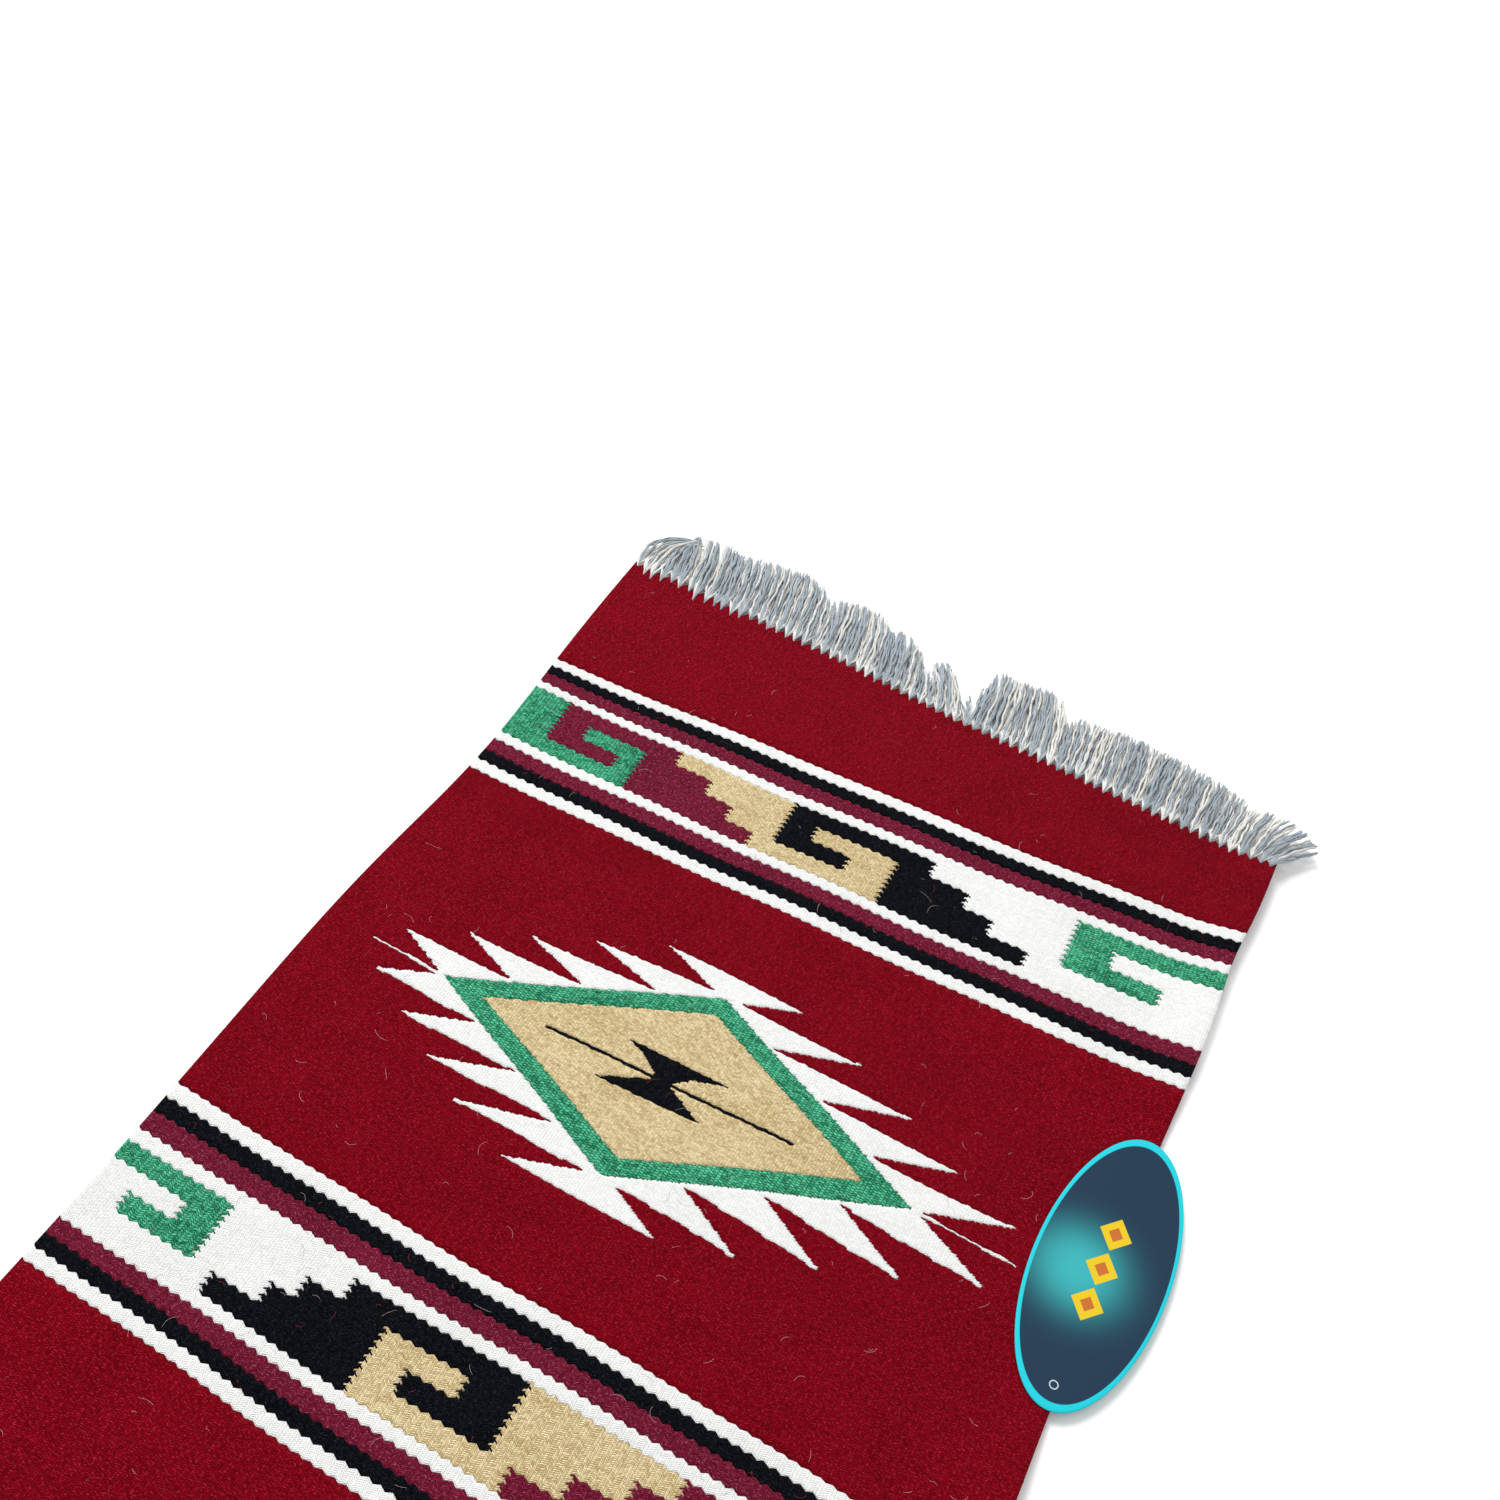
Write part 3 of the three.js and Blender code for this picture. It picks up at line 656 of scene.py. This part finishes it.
# The stripes, frets and grounds of the three bands: the same wool in five more colours, woven as
# tapestry. Where two colours meet along a warp they share it, so that the join is toothed.
wools = {
    "maroon": wool_weft("wool_weft_maroon", "#5b0d24", "#7a1a34", "#aa5a75", shadow=0.6),
    "black": wool_weft("wool_weft_black", "#040508", "#101217", "#2c303a"),
    "white": wool_weft("wool_weft_white", "#dedfdd", "#f1f2f0", "#f6f7f5", shadow=0.86),
    "tan": wool_weft("wool_weft_tan", "#b79b66", "#ead8ab", "#f1e6c6", shadow=0.55),
    "green": wool_weft(
        "wool_weft_green", "#126947", "#4fbc90", "#7ccba8", shadow=0.12, width=PAIR / 3, course=0.0012
    ),
}
band_bodies = {"far_band": "far_drop", "middle_band": "runner_middle", "near_band": "near_drop"}
band_parts = {band: [] for band in BANDS}
for node in areas:
    for band, body in band_bodies.items():
        if node.startswith(band):
            part = woven(f"{node}_weft", [node], wools[colour_of(node)])
            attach(part, body)
            band_parts[band].append(part)


# The two medallions: a tan diamond with a black bow in it, a green border, and white flames all
# round. Their slanting sides step from warp to warp.
medallion_parts = {}
for diamond in MEDALLIONS:
    medallion_parts[diamond] = []
    for shape, colour in SHAPE_COLOURS.items():
        part = woven(f"{diamond}_{shape}_weft", [f"{diamond}_{shape}"], wools[colour])
        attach(part, "runner_middle")
        medallion_parts[diamond].append(part)


# Shed wool: fine stray hairs, 2 to 8 mm long, that the soft yarn gives off and that lie on its face.
HAIRS_PER_M2 = 3200
HAIR_RADIUS = 0.00003
SHORTEST_HAIR, LONGEST_HAIR = 0.002, 0.008
HAIR_STEPS = 6


def hairs(name, near_y, far_y, seed):
    """Closed tubes along arcs: each starts at a chance place, runs in a chance direction that turns
    steadily, and rises from the cloth's face by half a millimetre at its middle."""
    chance = np.random.default_rng(seed)
    count = int(HAIRS_PER_M2 * (far_y - near_y) * CLOTH_WIDTH)
    share = np.linspace(0, 1, HAIR_STEPS + 1)
    longer = chance.random(count)[:, None] ** 2
    length = SHORTEST_HAIR + (LONGEST_HAIR - SHORTEST_HAIR) * longer
    heading = chance.uniform(0, 2 * np.pi, (count, 1)) + chance.uniform(-2.5, 2.5, (count, 1)) * share
    step = length / HAIR_STEPS
    start_x = chance.uniform(-0.165, 0.165, (count, 1))
    start_y = chance.uniform(near_y + 0.006, far_y - 0.006, (count, 1))
    x = start_x + np.cumsum(np.cos(heading) * step, axis=1)
    y = start_y + np.cumsum(np.sin(heading) * step, axis=1)
    y = np.clip(y, near_y + 0.001, far_y - 0.001)
    z = THICKNESS - 0.00005 + 0.0005 * np.sin(np.pi * share) * chance.random((count, 1))
    x, y, z = np.broadcast_arrays(np.clip(x, -0.172, 0.172), y, z)
    under_tag = ((x - tag_middle.x) / 0.030) ** 2 + ((y - tag_middle.y) / 0.067) ** 2
    z = np.where(under_tag < 1, THICKNESS - 0.0002, z)
    radius = np.full(x.shape, HAIR_RADIUS)
    points, faces, uv = cords(lie(x, y, z), radius, 2, 0.0, 4)
    return new_piece(name, points, faces, uv, shed_wool)


shed_wool, tree, shader = new_material("shed_wool_hair")
uv = add(tree, "UVMap", uv_map="weave").outputs["UV"]
number = add(tree, "SeparateXYZ", {"Vector": uv}).outputs["X"]
whole = add(tree, "Math", (number,), operation="ROUND")
pick = add(tree, "TexWhiteNoise", {"W": whole}, noise_dimensions="1D")
tone = add(tree, "ValToRGB", {"Fac": pick.outputs["Value"]})
tone.color_ramp.interpolation = "CONSTANT"
tone.color_ramp.elements[0].color = hex_colour("#a8424c")
tone.color_ramp.elements[1].color = hex_colour("#d9b9b9")
tone.color_ramp.elements[1].position = 0.55
tone.color_ramp.elements.new(0.92).color = hex_colour("#4a3230")
tree.links.new(tone.outputs["Color"], shader.inputs["Base Color"])
shader.inputs["Roughness"].default_value = 0.9
shader.inputs["Specular IOR Level"].default_value = 0.2
loose_hairs = {}
panels = {
    "far_drop": (CLEAR_OF_FOLD, END - 0.004),
    "runner_middle": (-HINGE, HINGE),
    "near_drop": (0.004 - END, -CLEAR_OF_FOLD),
}
for seed, (body, (near_y, far_y)) in enumerate(panels.items()):
    loose_hairs[body] = hairs(f"{body}_stray_hairs", near_y, far_y, 40 + seed)
    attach(loose_hairs[body], body)


# The swing tag: an oval of printed and varnished card, 0.6 mm thick, that lies across the selvedge.
LOZENGE = (0.0075, 0.0085)  # half width and half height
GLOW_PLACE, GLOW_REACH = (-0.0085, -0.005, 0.0), 0.050
RING_PLACE, RING_RADIUS, RING_LINE = (0.0, -0.0545, 0.0), 0.0018, 0.0004
TAG_BOW = 0.0006
TAG_SIDES = 120
TAG_RINGS = np.array([0, 0.3, 0.55, 0.75, 0.88, 0.93, 0.97, 0.99, 1.0])
tag_low, tag_high = (np.array(corner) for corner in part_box("swing_tag"))
tag_half = (tag_high - tag_low) / 2
tag_centre = (tag_high + tag_low) / 2


def tag_card():
    """An ellipse on polar rings, doubled for the two faces and joined round a rounded edge. The
    card bows up by TAG_BOW at both ends, as the square of the distance from its middle."""
    angle = np.arange(TAG_SIDES) / TAG_SIDES * 2 * np.pi
    share, turn = np.meshgrid(TAG_RINGS[1:], angle, indexing="ij")
    thick = tag_half[2] * np.sqrt(np.clip(1 - ((share - 0.97) / 0.032).clip(0) ** 2, 0.02, 1))
    layers = []
    for way in (1, -1):
        x, y = share * np.cos(turn) * tag_half[0], share * np.sin(turn) * tag_half[1]
        bow = TAG_BOW * (y / tag_half[1]) ** 2
        layer = np.stack([x, y, way * thick + bow], -1).reshape(-1, 3)
        layers.append(np.concatenate([layer, [[0, 0, way * tag_half[2]]]]))
    points = np.concatenate(layers)
    number = np.arange(share.size).reshape(share.shape)
    after = np.roll(number, -1, axis=1)
    quads = np.stack([number[:-1], number[1:], after[1:], after[:-1]], -1).reshape(-1, 4)
    middle = np.full(TAG_SIDES, share.size)
    fan = np.stack([middle, number[0], after[0]], -1)
    under = share.size + 1
    rim = np.stack([number[-1], number[-1] + under, after[-1] + under, after[-1]], -1)
    faces = [*quads, *(quads[:, ::-1] + under), *rim, *fan, *(fan[:, ::-1] + under)]
    mesh = bpy.data.meshes.new("swing_tag_card")
    mesh.from_pydata((points + tag_centre).tolist(), [], [face.tolist() for face in faces])
    mesh.polygons.foreach_set("use_smooth", np.ones(len(mesh.polygons), dtype=bool))
    card = bpy.data.objects.new("swing_tag_card", mesh)
    bpy.context.scene.collection.objects.link(card)
    return card


def printed_card(name):
    """Coated card: navy ink that glows teal round a spot at the side that lies on the cloth, and a
    bright turquoise line round the rim, under a satin varnish."""
    material, tree, shader = new_material(name)
    place = add(tree, "TexCoord").outputs["Object"]
    centred = add(tree, "VectorMath", (place, tuple(tag_centre)), operation="SUBTRACT")
    size = (1 / tag_half[0], 1 / tag_half[1], 0.0)
    unit = add(tree, "VectorMath", (centred, size), operation="MULTIPLY")
    radius = add(tree, "VectorMath", (unit,), operation="LENGTH").outputs["Value"]
    far_off = add(tree, "VectorMath", (centred, GLOW_PLACE), operation="DISTANCE").outputs["Value"]
    fade = {"Value": far_off, "From Max": GLOW_REACH, "To Min": 1.0, "To Max": 0.0}
    wide = add(tree, "MapRange", fade, interpolation_type="SMOOTHERSTEP")
    glow = add(tree, "Math", (wide, 3.0), operation="POWER")
    parts = add(tree, "SeparateXYZ", {"Vector": centred})
    x, y = parts.outputs["X"], parts.outputs["Y"]
    # A row of lozenges: x and the folded y, each as a share of a lozenge's half size, add up to 1
    # on the outline of one.
    half_width, half_height = LOZENGE
    lifted = add(tree, "Math", (y, 24 * half_height), operation="ADD")
    fold = add(tree, "Math", (lifted, half_height), operation="PINGPONG")
    fold_share = add(tree, "Math", (fold, half_height), operation="DIVIDE")
    from_axis = add(tree, "Math", (x,), operation="ABSOLUTE")
    slant = add(tree, "Math", (from_axis, half_width), operation="DIVIDE")
    lozenge = add(tree, "Math", (slant, fold_share), operation="ADD")
    from_middle = add(tree, "Math", (y,), operation="ABSOLUTE")
    in_row = add(tree, "Math", (from_middle, half_height * 3), operation="LESS_THAN")
    from_ring = add(tree, "VectorMath", (centred, RING_PLACE), operation="DISTANCE").outputs["Value"]
    masks = []
    for size in (0.92, 0.42):
        within = add(tree, "Math", (lozenge, size), operation="LESS_THAN")
        masks.append(add(tree, "Math", (within, in_row), operation="MULTIPLY"))
    masks.append(add(tree, "Math", (from_ring, RING_RADIUS, RING_LINE / 2), operation="COMPARE"))
    masks.append(add(tree, "MapRange", {"Value": radius, "From Min": 0.943, "From Max": 0.949}))
    inks = {"Factor": glow, "A": hex_colour("#1b3247"), "B": hex_colour("#35a2a6")}
    ink = add(tree, "Mix", inks, data_type="RGBA")
    for mask, code in zip(masks, ("#d4b51f", "#b5652c", "#b9c6d2", "#1cbcc9")):
        printed = {"Factor": mask, "A": ink.outputs["Result"], "B": hex_colour(code)}
        ink = add(tree, "Mix", printed, data_type="RGBA")
    tree.links.new(ink.outputs["Result"], shader.inputs["Base Color"])
    shader.inputs["Roughness"].default_value = 0.5
    shader.inputs["Specular IOR Level"].default_value = 0.12
    return material


card = tag_card()
card.data.materials.append(printed_card("varnished_card"))
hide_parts("swing_tag")
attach(card, "swing_tag")


# The table top and the light: a matt white board far wider than the cloth, under one broad soft
# lamp from the far left and an even white room.
board = bpy.data.objects.new("table_top", bpy.data.meshes.new("table_top"))
board.data.from_pydata([(-4, -4, 0), (4, -4, 0), (4, 4, 0), (-4, 4, 0)], [], [(0, 1, 2, 3)])
paint, tree, shader = new_material("matt_white_board")
grain = add(tree, "TexNoise", {"Scale": 3.0})
whites = {"Factor": grain, "A": hex_colour("#fbfbfb"), "B": hex_colour("#ffffff")}
pale = add(tree, "Mix", whites, data_type="RGBA")
tree.links.new(pale.outputs["Result"], shader.inputs["Base Color"])
shader.inputs["Roughness"].default_value = 0.9
shader.inputs["Specular IOR Level"].default_value = 0.0
board.data.materials.append(paint)
bpy.context.scene.collection.objects.link(board)

world = bpy.data.worlds.new("white_room")
world.use_nodes = True
world.node_tree.nodes["Background"].inputs["Color"].default_value = (1, 1, 1, 1)
world.node_tree.nodes["Background"].inputs["Strength"].default_value = 0.78
bpy.context.scene.world = world
bpy.context.scene.view_settings.view_transform = "Standard"


def softbox(name, place, target, size, power):
    """A square area lamp at a place, facing a target."""
    lamp = bpy.data.lights.new(name, "AREA")
    lamp.size, lamp.energy = size, power
    holder = bpy.data.objects.new(name, lamp)
    aim = (Vector(target) - Vector(place)).to_track_quat("-Z", "Y").to_matrix().to_4x4()
    holder.matrix_world = Matrix.Translation(place) @ aim
    bpy.context.scene.collection.objects.link(holder)


softbox("key_softbox", (-1.3, 1.2, 1.9), (0, 0.1, 0), 1.4, 60)
